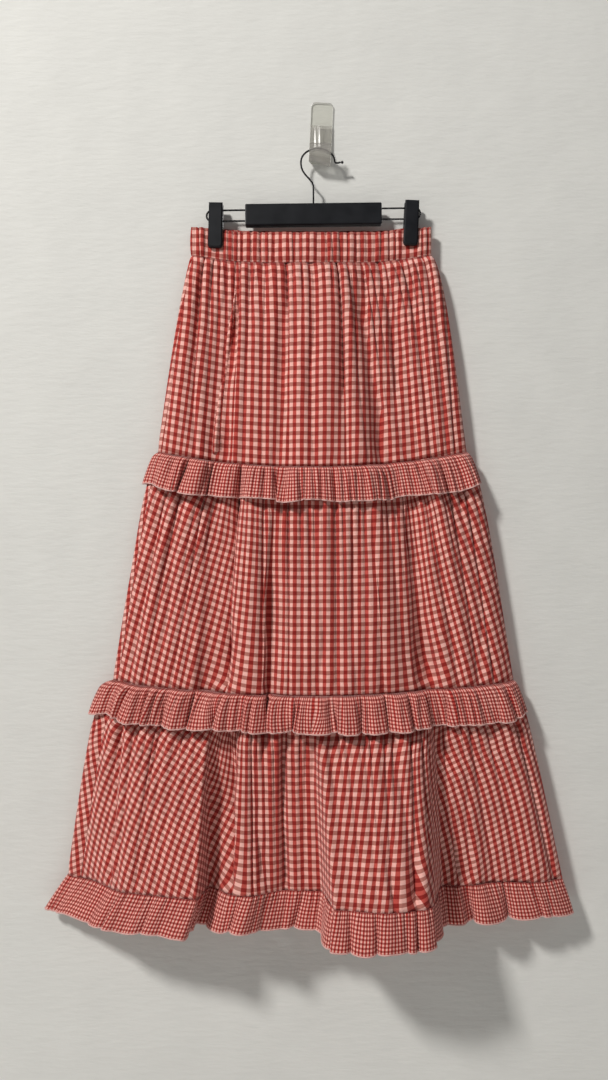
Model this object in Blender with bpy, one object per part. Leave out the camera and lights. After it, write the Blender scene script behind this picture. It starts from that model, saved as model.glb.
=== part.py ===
"""Tiered ruffle skirt on a black clip hanger and a clear wall hook.

Metres, +Z up. The origin is the middle of the wall hook's back face, the wall is the plane
y = 0, and the skirt hangs in front of it, towards -Y. +X is to the right of someone who
looks at the front.

The skirt is a tube of cloth. Each level of it (waist, seams, hem) is a row of LEVELS, and
the closed section of the tube at any height lies between two rows. Each panel is a stretch
of that tube, from one side seam to the other, with the folds of its own table laid on it
and a wall of cloth behind it.
"""

import math
from collections import namedtuple

import bmesh
import bpy
import numpy as np

# ---------------------------------------------------------------- driving sizes
GAP = 0.0003            # between two pieces that meet
CLOTH = 0.0012          # wall of the tiers and ruffles
BAND = 0.0018           # wall of the waistband, two layers round its elastic

HANGER_Y = -0.0140      # plane of the hanger's bar, rods and hook
HANGER_TILT = math.radians(0.7)
WIRE = 0.0024           # hook and rods

BAR_CENTRE_X = -0.0101
BAR_LENGTH = 0.178
BAR_TOP_Z = -0.0992
BAR_HEIGHT = 0.0280
BAR_DEPTH = 0.0120
BAR_BEVEL = 0.0016

ROD_UPPER_Z = -0.1055   # upper rod of each arm
ROD_SPACING = 0.0142
ROD_REACH = 0.0520      # from the bar's end to the far side of the closed loop

CLIP_X = (-0.1376, 0.1172)
CLIP_TOP_Z = -0.0975
CLIP_LENGTH = 0.0585
CLIP_WIDTH = 0.0190
CLIP_JAW = 0.0052       # thickness of a jaw
CLIP_PINCH = 0.0054     # between the two jaws
CLIP_LEAN = math.radians(2.5)

HOOK_LEAN = math.radians(2.5)
PLATE_WIDTH = 0.0290
PLATE_HEIGHT = 0.0810
PLATE_THICKNESS = 0.0020
LIP_Z = -0.0232         # top of the trough's lip

CROWN_X = -0.0043       # highest point of the hanger's hook, on its centre line
CROWN_Z = -0.0261
HOOK_HALF_WIDTH = 0.0221
HOOK_RISE = 0.0170      # from where the hook is widest up to its crown
FLOOR_FALL = 1.03       # the trough's floor falls away this much faster than the hook on it

# One row for each level of the tube. Lengths in metres, distances from the wall:
# side_left and side_right at the side folds, shoulder next to them and middle at the centre
# of the front, back at the back panel. A larger squareness gives blunter side folds.
Level = namedtuple("Level", "side_z front_sag back_sag left right side_left side_right "
                            "shoulder middle back squareness")
LEVELS = {
    "waist_top":  Level(-0.1290, 0.011, 0.003, -0.1700, 0.1440, 0.014, 0.014, 0.0166, 0.027, 0.0075, 40.0),
    "waist_seam": Level(-0.1660, 0.014, 0.004, -0.1700, 0.1440, 0.014, 0.014, 0.0166, 0.029, 0.0070, 40.0),
    "seam_1":     Level(-0.4235, 0.021, 0.006, -0.2125, 0.1895, 0.017, 0.017, 0.0290, 0.039, 0.0120, 5.0),
    "seam_2":     Level(-0.7200, 0.013, 0.004, -0.2710, 0.2500, 0.017, 0.019, 0.0370, 0.053, 0.0120, 4.0),
    "hem_seam":   Level(-0.9740, 0.002, 0.002, -0.3290, 0.3110, 0.016, 0.028, 0.0430, 0.062, 0.0090, 3.0),
    "hem":        Level(-1.0175, 0.003, 0.002, -0.3570, 0.3250, 0.017, 0.030, 0.0470, 0.068, 0.0090, 3.0),
}

CLIP_ACROSS = 0.81      # clips stand at this part of the half width
CLIP_HOLD = 0.16        # they flatten the back out to this far from there
BOW_ACROSS = 0.74       # and the band bows out between them
PINCHED_BACK = -HANGER_Y - 0.5 * CLIP_PINCH + GAP
CROWDING = 0.6          # how much places round the tube crowd towards the side folds

# Folds of a panel: where each starts and ends across it (0 left, 1 right) at the top and at
# the bottom, how softly it rises and falls (as parts of the width), and how far it stands
# out at the top and at the bottom. A negative one is a trough.
Fold = namedtuple("Fold", "top_from top_to low_from low_to rise fall out_top out_low")
FOLDS = {
    "band_front": (),
    "band_back": (),
    "tier_1_front": (
        Fold(0.150, 0.170, 0.185, 0.215, 0.040, 0.040, -0.0040, -0.0060),
        Fold(0.385, 0.385, 0.390, 0.390, 0.035, 0.035, -0.0035, -0.0025),
        Fold(0.655, 0.655, 0.735, 0.745, 0.050, 0.030, -0.0050, -0.0060),
        Fold(0.790, 0.790, 0.820, 0.820, 0.035, 0.045, -0.0030, -0.0035),
        Fold(0.450, 0.600, 0.480, 0.660, 0.080, 0.080, 0.0015, 0.0040),
    ),
    "tier_1_back": (
        Fold(0.200, 0.210, 0.160, 0.190, 0.060, 0.050, -0.0030, -0.0080),
        Fold(0.480, 0.500, 0.450, 0.480, 0.060, 0.060, -0.0040, -0.0090),
        Fold(0.740, 0.750, 0.760, 0.790, 0.050, 0.060, -0.0030, -0.0080),
    ),
    "tier_2_front": (
        Fold(0.090, 0.190, 0.080, 0.200, 0.050, 0.030, 0.0020, 0.0100),
        Fold(0.280, 0.372, 0.285, 0.378, 0.050, 0.014, 0.0030, 0.0120),
        Fold(0.440, 0.635, 0.440, 0.648, 0.050, 0.030, 0.0020, 0.0080),
        Fold(0.690, 0.750, 0.690, 0.745, 0.030, 0.030, 0.0010, 0.0070),
        Fold(0.840, 0.950, 0.830, 0.950, 0.040, 0.040, 0.0015, 0.0070),
    ),
    "tier_2_back": (
        Fold(0.170, 0.200, 0.150, 0.190, 0.060, 0.050, -0.0060, -0.0130),
        Fold(0.420, 0.440, 0.400, 0.450, 0.050, 0.060, -0.0050, -0.0150),
        Fold(0.640, 0.660, 0.650, 0.680, 0.060, 0.050, -0.0050, -0.0110),
        Fold(0.850, 0.870, 0.860, 0.880, 0.050, 0.060, -0.0040, -0.0120),
    ),
    "tier_3_front": (
        Fold(0.110, 0.262, 0.130, 0.272, 0.100, 0.022, 0.0050, 0.0430),
        Fold(0.350, 0.380, 0.340, 0.370, 0.050, 0.070, 0.0020, 0.0230),
        Fold(0.525, 0.755, 0.540, 0.715, 0.030, 0.040, 0.0060, 0.0540),
        Fold(0.660, 0.700, 0.645, 0.690, 0.110, 0.060, 0.0020, 0.0150),
        Fold(0.800, 0.830, 0.785, 0.810, 0.030, 0.040, 0.0010, 0.0090),
        Fold(0.930, 0.950, 0.940, 0.960, 0.050, 0.030, 0.0010, 0.0090),
    ),
    "tier_3_back": (
        Fold(0.130, 0.160, 0.120, 0.170, 0.060, 0.050, -0.0080, -0.0240),
        Fold(0.330, 0.360, 0.320, 0.370, 0.050, 0.050, -0.0070, -0.0200),
        Fold(0.530, 0.560, 0.520, 0.580, 0.060, 0.050, -0.0080, -0.0270),
        Fold(0.730, 0.750, 0.720, 0.760, 0.040, 0.050, -0.0060, -0.0180),
        Fold(0.890, 0.900, 0.880, 0.910, 0.040, 0.050, -0.0050, -0.0160),
    ),
}
HEM_SPREAD = 1.06       # folds deepen by this much down the hem ruffle

# The hem ruffle goes on with the folds that the lowest tier has at its bottom edge.
for side in ("front", "back"):
    FOLDS["hem_ruffle_" + side] = tuple(
        Fold(f.low_from, f.low_to, f.low_from, f.low_to, f.rise, f.fall, f.out_low, f.out_low * HEM_SPREAD)
        for f in FOLDS["tier_3_" + side])

# A stretch of the tube between two levels, and the stretch above it that it is sewn to with
# folds running on. puff_left, puff_right and puff_front say how far the gathers under a seam
# make the cloth stand out there. seam is the turn at which its left side seam lies, a little
# way round onto the front; the right one is on the side fold.
Stretch = namedtuple("Stretch", "top low above puff_left puff_right puff_front seam")
STRETCHES = {
    "band":       Stretch("waist_top", "waist_seam", None, 0.0000, 0.0000, 0.0000, 0.030),
    "tier_1":     Stretch("waist_seam", "seam_1", "band", 0.0030, 0.0080, 0.0020, 0.030),
    "tier_2":     Stretch("seam_1", "seam_2", "tier_1", 0.0065, 0.0090, 0.0040, 0.030),
    "tier_3":     Stretch("seam_2", "hem_seam", "tier_2", 0.0110, 0.0060, 0.0050, 0.058),
    "hem_ruffle": Stretch("hem_seam", "hem", None, 0.0000, 0.0000, 0.0000, 0.030),
}
FOLDS_RUN_ON = 0.35     # part of a stretch's height by which it has only its own folds

SEAM_HALF = 0.0007      # half the gap of a side seam, as a part of the turn
PROBE = 0.004           # step along the cloth that tells which way it faces
LAYER_GAP = 0.0005      # between a tier and the ruffle on it

# Gathers of a ruffle: waves of two lengths that together look uneven.
WAVE_A = 0.031
WAVE_B = 0.047
RUFFLE_DROP = 0.0445
RUFFLE_FLARE = 0.0015
RUFFLE_WAVE = 0.0035
HEM_WAVE = 0.0050

COLOURS = {
    "gingham_large": (0.66, 0.20, 0.17, 1.0),
    "gingham_small": (0.70, 0.27, 0.24, 1.0),
    "black_plastic": (0.012, 0.012, 0.014, 1.0),
    "black_wire": (0.010, 0.010, 0.011, 1.0),
    "clear_plastic": (0.80, 0.80, 0.79, 1.0),
}


# ---------------------------------------------------------------- scene helpers
def clear_scene():
    for obj in list(bpy.data.objects):
        bpy.data.objects.remove(obj, do_unlink=True)


def material(name, roughness, metallic=0.0):
    """Principled material with the part's own colour."""
    mat = bpy.data.materials.get(name)
    if mat is None:
        mat = bpy.data.materials.new(name)
        mat.use_nodes = True
        shader = mat.node_tree.nodes["Principled BSDF"]
        shader.inputs["Base Color"].default_value = COLOURS[name]
        shader.inputs["Roughness"].default_value = roughness
        shader.inputs["Metallic"].default_value = metallic
        mat.diffuse_color = COLOURS[name]
    return mat


def add_object(name, vertices, faces, mat, smooth=True, turn_out=False):
    """New object from points and faces. turn_out turns every face to the outside first."""
    mesh = bpy.data.meshes.new(name)
    mesh.from_pydata([tuple(map(float, v)) for v in vertices], [], faces)
    mesh.validate()
    if turn_out:
        work = bmesh.new()
        work.from_mesh(mesh)
        bmesh.ops.recalc_face_normals(work, faces=work.faces)
        work.to_mesh(mesh)
        work.free()
    if smooth:
        mesh.shade_smooth()
    obj = bpy.data.objects.new(name, mesh)
    bpy.context.scene.collection.objects.link(obj)
    obj.data.materials.append(mat)
    return obj


# ---------------------------------------------------------------- the tube of cloth
def smoothstep(value):
    """0 below 0, 1 above 1, and a soft slope between."""
    v = np.clip(value, 0.0, 1.0)
    return v * v * (3.0 - 2.0 * v)


def between(top, low, down):
    """A level between two rows of LEVELS, down = 0 at the upper and 1 at the lower."""
    return Level(*(a + (b - a) * down for a, b in zip(top, low)))


def own_folds(panel_name, across, down):
    """How far the folds of a panel's own table stand out at each place across, at one height."""
    total = np.zeros_like(across)
    for f in FOLDS[panel_name]:
        start = f.top_from + (f.low_from - f.top_from) * down
        end = f.top_to + (f.low_to - f.top_to) * down
        out = f.out_top + (f.out_low - f.out_top) * down
        shape = smoothstep((across - start + f.rise) / f.rise) * smoothstep((end + f.fall - across) / f.fall)
        total += out * shape
    return total


def fold_depth(stretch, side, across, down):
    """Folds of a panel at one height. Just under its seam it still has the folds of the panel
    above, so that the two meet, and further down it has only its own."""
    own = own_folds("%s_%s" % (stretch, side), across, down)
    above = STRETCHES[stretch].above
    if above is None:
        return own
    blend = float(smoothstep(down / FOLDS_RUN_ON))
    return blend * own + (1.0 - blend) * own_folds("%s_%s" % (above, side), across, 1.0)


def half_section(stretch, side, down, across):
    """Front or back half of the section at one height: a point for each place across, which is
    counted from the left on both. The distance from the wall runs from the side folds over a
    rounded shoulder. The front has a bow in the middle, and the clips flatten the back."""
    s = STRETCHES[stretch]
    level = between(LEVELS[s.top], LEVELS[s.low], down)
    puff = math.sin(math.pi * math.sqrt(down)) if 0.0 < down < 1.0 else 0.0
    left = level.left - s.puff_left * puff
    right = level.right + s.puff_right * puff
    off_middle = 2.0 * across - 1.0
    rim = np.sqrt(np.maximum(0.0, 1.0 - np.abs(off_middle) ** level.squareness))
    edge = level.side_left + (level.side_right - level.side_left) * across
    folds = rim * fold_depth(stretch, side, across, down)
    if side == "front":
        bow = np.cos(0.5 * math.pi * np.clip(off_middle / BOW_ACROSS, -1.0, 1.0)) ** 2
        shoulder = level.shoulder + s.puff_front * puff
        out = edge + (shoulder - edge) * rim + (level.middle - level.shoulder) * bow + folds
        sag = level.front_sag
    else:
        clip = smoothstep((CLIP_HOLD - np.abs(np.abs(off_middle) - CLIP_ACROSS)) / 0.10)
        held = {"band": 1.0, "tier_1": 1.0 - float(smoothstep(down * 4.0))}.get(stretch, 0.0)
        back = level.back + (PINCHED_BACK - level.back) * clip * held
        out = edge + (back - edge) * rim - folds
        sag = level.back_sag
    z = level.side_z - sag * (1.0 - off_middle ** 2)
    return np.stack([left + (right - left) * across, -out, z], axis=-1)


def ring_line(stretch, down, turn):
    """A stretch of the closed section: turn 0..1 is the front from left to right, and 1..2 the
    back from right to left. Places crowd towards the side folds, where the cloth turns."""
    wrapped = np.mod(turn, 2.0)
    on_front = wrapped <= 1.0
    along = np.where(on_front, wrapped, 2.0 - wrapped)
    across = along + CROWDING * (0.5 * (1.0 - np.cos(math.pi * along)) - along)
    return np.where(on_front[:, None], half_section(stretch, "front", down, across),
                    half_section(stretch, "back", down, across))


def skin(stretch, side, columns, heights, level=False):
    """Points of a front or back panel, side seam to side seam, a row for each height, and the
    unit vectors that point out of the cloth there. These are level at the edges, so that pieces
    meet squarely there, and everywhere if level is asked."""
    left_seam = STRETCHES[stretch].seam
    first, last = (left_seam, 1.0) if side == "front" else (1.0, 2.0 + left_seam)
    turns = np.linspace(first + SEAM_HALF, last - SEAM_HALF, columns + 1)
    points, normals = [], []
    for down in heights:
        points.append(ring_line(stretch, down, turns))
        along = ring_line(stretch, down, turns + PROBE) - ring_line(stretch, down, turns - PROBE)
        above, below = max(down - PROBE, 0.0), min(down + PROBE, 1.0)
        fall = ring_line(stretch, below, turns) - ring_line(stretch, above, turns)
        normal = np.cross(fall, along)
        if level or down in (heights[0], heights[-1]):
            normal[:, 2] = 0.0
        normals.append(normal / np.linalg.norm(normal, axis=1, keepdims=True))
    return np.stack(points), np.stack(normals)


def wall(name, points, normals, out, thickness, mat):
    """Closed wall of cloth: its outer face stands out from the points of a skin, its inner face
    lies one thickness behind that, and a rim joins the two."""
    outer = points + out[:, :, None] * normals
    inner = outer - thickness * normals
    count_rows, count_columns, _ = outer.shape
    vertices = np.concatenate([outer.reshape(-1, 3), inner.reshape(-1, 3)])
    half = count_rows * count_columns

    def at(row, column, inside=False):
        return row * count_columns + column + (half if inside else 0)

    faces = []
    for row in range(count_rows - 1):
        for col in range(count_columns - 1):
            faces.append((at(row, col), at(row + 1, col), at(row + 1, col + 1), at(row, col + 1)))
            faces.append((at(row, col, True), at(row, col + 1, True),
                          at(row + 1, col + 1, True), at(row + 1, col, True)))
    for col in range(count_columns - 1):
        last = count_rows - 1
        faces.append((at(0, col), at(0, col + 1), at(0, col + 1, True), at(0, col, True)))
        faces.append((at(last, col + 1), at(last, col), at(last, col, True), at(last, col + 1, True)))
    for row in range(count_rows - 1):
        end = count_columns - 1
        faces.append((at(row + 1, 0), at(row, 0), at(row, 0, True), at(row + 1, 0, True)))
        faces.append((at(row, end), at(row + 1, end), at(row + 1, end, True), at(row, end, True)))
    return add_object(name, vertices, faces, mat)


def panel(name, stretch, side, columns, heights, thickness, mat):
    """Front or back panel of a stretch. Its top edge keeps clear of the piece above."""
    points, normals = skin(stretch, side, columns, heights)
    points[0, :, 2] -= GAP
    wall(name, points, normals, np.zeros(points.shape[:2]), thickness, mat)


def gathers(line, start):
    """Gathers along a line of points, -1 to 1 by its true length, dying away at both ends, where
    the side seams hold them flat."""
    steps = np.linalg.norm(np.diff(line, axis=0), axis=1)
    length = np.concatenate([[0.0], np.cumsum(steps)])
    waves = np.sin(2 * math.pi * (start + length) / WAVE_A)
    waves = waves + 0.7 * np.sin(2 * math.pi * (start + length) / WAVE_B + 1.1)
    return waves / 1.7 * smoothstep(length / 0.03) * smoothstep((length[-1] - length) / 0.03)


def ruffle_over(name, stretch, side, columns, mat, start):
    """Ruffle sewn in at the top of a tier: the tier's own points moved out, a little more
    towards the free edge, with its gathers."""
    tier = STRETCHES[stretch]
    height = LEVELS[tier.top].side_z - LEVELS[tier.low].side_z
    parts = np.array([0.0, 0.5, 1.0])
    points, normals = skin(stretch, side, columns, parts * RUFFLE_DROP / height, level=True)
    points[:, :, 2] -= GAP
    wave = np.stack([0.5 + 0.5 * gathers(line, start) for line in points])
    out = CLOTH + LAYER_GAP + parts[:, None] * (RUFFLE_FLARE + RUFFLE_WAVE * wave)
    wall(name, points, normals, out, CLOTH, mat)


def hem_ruffle(name, side, columns, mat, start):
    """Ruffle that hangs from the lowest tier, its gathers growing towards the free edge."""
    parts = np.array([0.0, 0.5, 1.0])
    points, normals = skin("hem_ruffle", side, columns, parts)
    points[0, :, 2] -= GAP
    wave = np.stack([gathers(line, start) for line in points])
    wall(name, points, normals, 0.5 * HEM_WAVE * parts[:, None] * wave, CLOTH, mat)


def make_skirt():
    large = material("gingham_large", 0.9)
    small = material("gingham_small", 0.9)
    for side, band, tier, ruffle in (("front", 40, 56, 56), ("back", 32, 40, 40)):
        panel("waistband_" + side, "band", side, band, (0.0, 0.5, 1.0), BAND, large)
        for number in (1, 2, 3):
            panel("tier_%d_%s" % (number, side), "tier_%d" % number, side, tier,
                  (0.0, 0.15, 0.4, 0.7, 1.0), CLOTH, large)
        for number in (1, 2):
            ruffle_over("ruffle_%d_%s" % (number, side), "tier_%d" % (number + 1), side,
                        ruffle, small, 0.01 * number)
        hem_ruffle("ruffle_hem_" + side, side, ruffle, small, 0.02)


# ---------------------------------------------------------------- hanger
def tilted(x, z):
    """A place on the hanger, which hangs a little higher at its right end."""
    dx = x - BAR_CENTRE_X
    return BAR_CENTRE_X + dx, z + math.tan(HANGER_TILT) * dx


def box(name, centre, size, mat, bevel=0.0, turn=0.0):
    """Box with a rounded edge, turned about the Y axis through its middle."""
    hx, hy, hz = (0.5 * v for v in size)
    corners = [(sx * hx, sy * hy, sz * hz) for sx in (-1, 1) for sy in (-1, 1) for sz in (-1, 1)]
    faces = [(0, 1, 3, 2), (4, 6, 7, 5), (0, 4, 5, 1), (2, 3, 7, 6), (0, 2, 6, 4), (1, 5, 7, 3)]
    obj = add_object(name, corners, faces, mat, smooth=False)
    obj.location = centre
    obj.rotation_euler = (0.0, turn, 0.0)
    if bevel:
        rounding = obj.modifiers.new("rounding", "BEVEL")
        rounding.width = bevel
        rounding.segments = 2
    return obj


def wire(name, points, diameter, mat, sides=10):
    """Round wire swept along points in the hanger's plane, with flat ends."""
    pts = np.array(points)
    along = np.gradient(pts, axis=0)
    along /= np.linalg.norm(along, axis=1, keepdims=True)
    depth = np.array([0.0, 1.0, 0.0])
    angles = np.linspace(0.0, 2 * math.pi, sides, endpoint=False)
    vertices = []
    for point, direction in zip(pts, along):
        across = np.cross(depth, direction)
        for angle in angles:
            vertices.append(point + 0.5 * diameter * (math.cos(angle) * across + math.sin(angle) * depth))
    faces = []
    for ring in range(len(pts) - 1):
        for side in range(sides):
            a = ring * sides + side
            b = ring * sides + (side + 1) % sides
            faces.append((a, b, b + sides, a + sides))
    faces.append(tuple(reversed(range(sides))))
    last = (len(pts) - 1) * sides
    faces.append(tuple(last + side for side in range(sides)))
    return add_object(name, vertices, faces, mat)


def make_bar():
    black = material("black_plastic", 0.45)
    box("hanger_bar", (BAR_CENTRE_X, HANGER_Y, BAR_TOP_Z - 0.5 * BAR_HEIGHT),
        (BAR_LENGTH, BAR_DEPTH, BAR_HEIGHT), black, BAR_BEVEL, -HANGER_TILT)


def make_rods():
    """Each arm is one wire: out along the top, round the closed loop and back below."""
    black = material("black_wire", 0.35, 1.0)
    radius = 0.5 * ROD_SPACING
    for sign, name in ((-1, "hanger_rod_left"), (1, "hanger_rod_right")):
        root = BAR_CENTRE_X + sign * (0.5 * BAR_LENGTH + GAP * 1.5)
        bend = BAR_CENTRE_X + sign * (0.5 * BAR_LENGTH + ROD_REACH - radius - 0.5 * WIRE)
        path = [(root, ROD_UPPER_Z)]
        for step in range(9):
            angle = math.pi * step / 8
            path.append((bend + sign * radius * math.sin(angle),
                         ROD_UPPER_Z - radius + radius * math.cos(angle)))
        path.append((root, ROD_UPPER_Z - ROD_SPACING))
        points = [(tilted(x, z)[0], HANGER_Y, tilted(x, z)[1]) for x, z in path]
        wire(name, points, WIRE, black)


def make_clips():
    """A clip is two jaws either side of a core that rides on the two rods."""
    black = material("black_plastic", 0.45)
    for x, name, lean in ((CLIP_X[0], "left", 0.4 * CLIP_LEAN), (CLIP_X[1], "right", CLIP_LEAN)):
        rod_x, rod_z = tilted(x, ROD_UPPER_Z - 0.5 * ROD_SPACING)
        core = box("clip_%s_core" % name, (rod_x, HANGER_Y, rod_z),
                   (CLIP_WIDTH - 0.005, CLIP_PINCH, ROD_SPACING + 0.0062), black)
        for number, z in enumerate((ROD_UPPER_Z, ROD_UPPER_Z - ROD_SPACING)):
            ends = [tilted(x + dx, z) for dx in (-CLIP_WIDTH, CLIP_WIDTH)]
            bore = wire("bore_%s_%d" % (name, number), [(ex, HANGER_Y, ez) for ex, ez in ends],
                        WIRE + 0.0007, black, 16)
            bore.hide_render = True
            bore.display_type = "WIRE"
            cut = core.modifiers.new("rod hole", "BOOLEAN")
            cut.object = bore
            cut.operation = "DIFFERENCE"
        centre_z = tilted(x, CLIP_TOP_Z)[1] - 0.5 * CLIP_LENGTH
        for side, sign in (("front", -1), ("back", 1)):
            y = HANGER_Y + sign * (0.5 * CLIP_PINCH + GAP + 0.5 * CLIP_JAW)
            jaw(("clip_%s_jaw_%s" % (name, side)), x, y, centre_z, sign, lean, black)


def jaw(name, x, y, z, sign, lean, mat):
    """Jaw plate: wider at its rounded foot than at its thumb end, flat towards the cloth and
    crowned on its outside."""
    half_top = 0.47 * CLIP_WIDTH
    half_foot = 0.5 * CLIP_WIDTH
    corner = 0.004
    outline = [(-half_top, 0.5 * CLIP_LENGTH), (half_top, 0.5 * CLIP_LENGTH)]
    for step in range(5):
        angle = 0.5 * math.pi * step / 4
        outline.append((half_foot - corner + corner * math.cos(angle),
                        -0.5 * CLIP_LENGTH + corner - corner * math.sin(angle)))
    for step in range(5):
        angle = 0.5 * math.pi * step / 4
        outline.append((-half_foot + corner - corner * math.sin(angle),
                        -0.5 * CLIP_LENGTH + corner - corner * math.cos(angle)))
    count = len(outline)
    inside = -sign * 0.5 * CLIP_JAW
    outside = sign * 0.5 * CLIP_JAW
    shoulder = sign * 0.22 * CLIP_JAW
    vertices = [(px, inside, pz) for px, pz in outline]
    vertices += [(px, shoulder, pz) for px, pz in outline]
    vertices += [(0.82 * px, outside, 0.94 * pz) for px, pz in outline]
    faces = [tuple(range(count)), tuple(reversed(range(2 * count, 3 * count)))]
    for layer in (0, count):
        for i in range(count):
            j = (i + 1) % count
            faces.append((layer + j, layer + i, layer + count + i, layer + count + j))
    if sign > 0:
        faces = [tuple(reversed(face)) for face in faces]
    obj = add_object(name, vertices, faces, mat, smooth=False)
    obj.location = (x, y, z)
    obj.rotation_euler = (0.0, lean, 0.0)
    return obj


def hook_path():
    """Centre line of the hanger's hook: straight up from the bar, an S to the left, half an
    ellipse over the wall hook's trough and a short end turned outwards."""
    foot_z = BAR_TOP_Z + GAP * 1.5
    left_x = CROWN_X - HOOK_HALF_WIDTH
    shoulder_z = CROWN_Z - HOOK_RISE
    bend_z = shoulder_z - 0.0315
    path = [(BAR_CENTRE_X, foot_z), (BAR_CENTRE_X, 0.5 * (foot_z + bend_z))]
    for step in range(9):
        part = 1.0 - step / 8
        path.append((left_x + (BAR_CENTRE_X - left_x) * float(smoothstep(part ** 1.5)),
                     shoulder_z + (bend_z - shoulder_z) * part))
    for step in range(1, 17):
        angle = math.pi * (1.0 - step / 16)
        path.append((CROWN_X + HOOK_HALF_WIDTH * math.cos(angle),
                     shoulder_z + HOOK_RISE * math.sin(angle)))
    right_x = CROWN_X + HOOK_HALF_WIDTH
    path.append((right_x + 0.0008, shoulder_z - 0.0016))
    path.append((right_x + 0.0030, shoulder_z - 0.0020))
    path.append((right_x + 0.0075, shoulder_z - 0.0010))
    return path


def make_hanger_hook():
    black = material("black_wire", 0.35, 1.0)
    path = hook_path()
    wire("hanger_hook", [(x, HANGER_Y, z) for x, z in path], WIRE, black)
    tip_x, tip_z = path[-1]
    bpy.ops.mesh.primitive_uv_sphere_add(segments=12, ring_count=8, radius=0.0019,
                                         location=(tip_x + 0.0019 + GAP, HANGER_Y, tip_z))
    tip = bpy.context.object
    tip.name = "hanger_hook_tip"
    tip.data.materials.append(black)
    tip.data.shade_smooth()


# ---------------------------------------------------------------- wall hook
def prism(name, outline, half_width, mat, axis_points):
    """Outline extruded to both sides of the middle plane, its points placed by axis_points."""
    count = len(outline)
    vertices = [axis_points(-half_width, a, b) for a, b in outline]
    vertices += [axis_points(half_width, a, b) for a, b in outline]
    faces = [tuple(reversed(range(count))), tuple(range(count, 2 * count))]
    for i in range(count):
        j = (i + 1) % count
        faces.append((i, j, count + j, count + i))
    return add_object(name, vertices, faces, mat, smooth=False, turn_out=True)


def make_wall_hook():
    """Clear plate stuck to the wall, and the trough that it carries, each leaning a little."""
    clear = material("clear_plastic", 0.15)
    half_w, half_h, corner = 0.5 * PLATE_WIDTH, 0.5 * PLATE_HEIGHT, 0.006
    outline = []
    for cx, cz, first in ((1, 1, 0), (-1, 1, 90), (-1, -1, 180), (1, -1, 270)):
        for step in range(6):
            angle = math.radians(first + 90 * step / 5)
            outline.append((cx * (half_w - corner) + corner * math.cos(angle),
                            cz * (half_h - corner) + corner * math.sin(angle)))
    plate = prism("wall_hook_plate", outline, 0.5 * PLATE_THICKNESS, clear,
                  lambda depth, a, b: (a, depth - 0.5 * PLATE_THICKNESS, b))
    plate.rotation_euler = (0.0, HOOK_LEAN, 0.0)

    half = 0.5 * PLATE_WIDTH - 0.0004
    sections = []
    for w in np.linspace(-half, half, 11):
        sections.append([(w, -out, z) for out, z in trough_section(w)])
    hook = loft("wall_hook_trough", sections, clear)
    hook.rotation_euler = (0.0, HOOK_LEAN, 0.0)


def trough_section(w):
    """Side outline of the trough w from its middle, as distance from the wall and height. Its
    floor is arched, and follows the underside of the hanger's wire."""
    root = PLATE_THICKNESS + GAP
    mid_height = CROWN_Z - 0.5 * WIRE - GAP
    x = w + mid_height * math.tan(HOOK_LEAN) - CROWN_X
    drop = HOOK_RISE * (1.0 - math.sqrt(1.0 - (x / HOOK_HALF_WIDTH) ** 2))
    floor = mid_height - drop * FLOOR_FALL + w * math.tan(HOOK_LEAN)
    ridge = math.exp(-(w / 0.0050) ** 2)        # the rib that runs up the plate
    outline = [(root, -0.0395), (root, 0.0095), (root + 0.0006 + 0.0018 * ridge, 0.0090)]
    outline += [(root + 0.0016 + 0.0045 * ridge, -0.0200), (0.0100, floor), (0.0180, floor)]
    outline += [(0.0193, LIP_Z), (0.0213, LIP_Z + 0.0010), (0.0230, LIP_Z), (0.0240, -0.0300)]
    for step in range(7):
        angle = 0.5 * math.pi * step / 6
        outline.append((0.0080 + 0.0160 * math.cos(angle), -0.0395 - 0.0095 * math.sin(angle)))
    return outline


def loft(name, sections, mat):
    """Closed solid through a row of outlines that have the same number of points."""
    count = len(sections[0])
    vertices = [point for section in sections for point in section]
    last = (len(sections) - 1) * count
    faces = [tuple(range(count)), tuple(range(last, last + count))]
    for layer in range(0, last, count):
        for i in range(count):
            j = (i + 1) % count
            faces.append((layer + i, layer + j, layer + count + j, layer + count + i))
    return add_object(name, vertices, faces, mat, smooth=False, turn_out=True)


clear_scene()
make_skirt()
make_bar()
make_rods()
make_clips()
make_hanger_hook()
make_wall_hook()
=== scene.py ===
"""Looks of the tiered ruffle skirt, its clip hanger and the clear wall hook.

The skirt is a closed tube of cloth in front of the wall. Each panel is a surface of two
parameters: down, from its upper seam (0) to its lower one (1), and turn, round the tube from
the left side fold over the front (0 to 1) and back behind (1 to 2).
"""

import math
from collections import namedtuple

import bpy
import numpy as np
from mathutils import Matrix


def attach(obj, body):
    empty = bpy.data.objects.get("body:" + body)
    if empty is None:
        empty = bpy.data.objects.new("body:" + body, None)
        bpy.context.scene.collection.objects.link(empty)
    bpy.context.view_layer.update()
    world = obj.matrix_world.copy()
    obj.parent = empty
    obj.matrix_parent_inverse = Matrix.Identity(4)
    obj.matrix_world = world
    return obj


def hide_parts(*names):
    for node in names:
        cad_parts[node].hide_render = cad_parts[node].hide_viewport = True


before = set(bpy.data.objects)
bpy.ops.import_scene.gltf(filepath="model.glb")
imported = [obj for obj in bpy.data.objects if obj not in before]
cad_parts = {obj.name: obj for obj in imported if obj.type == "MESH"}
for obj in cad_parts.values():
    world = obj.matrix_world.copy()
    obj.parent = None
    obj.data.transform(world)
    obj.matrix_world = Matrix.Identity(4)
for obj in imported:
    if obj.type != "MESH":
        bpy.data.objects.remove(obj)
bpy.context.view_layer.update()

# ---------------------------------------------------------------- the tube of cloth
CLIP_ACROSS = 0.81      # the clips stand at this part of the half width
CLIP_HELD = 0.25        # and their pinch fades out over this part of tier 1's height
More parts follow.
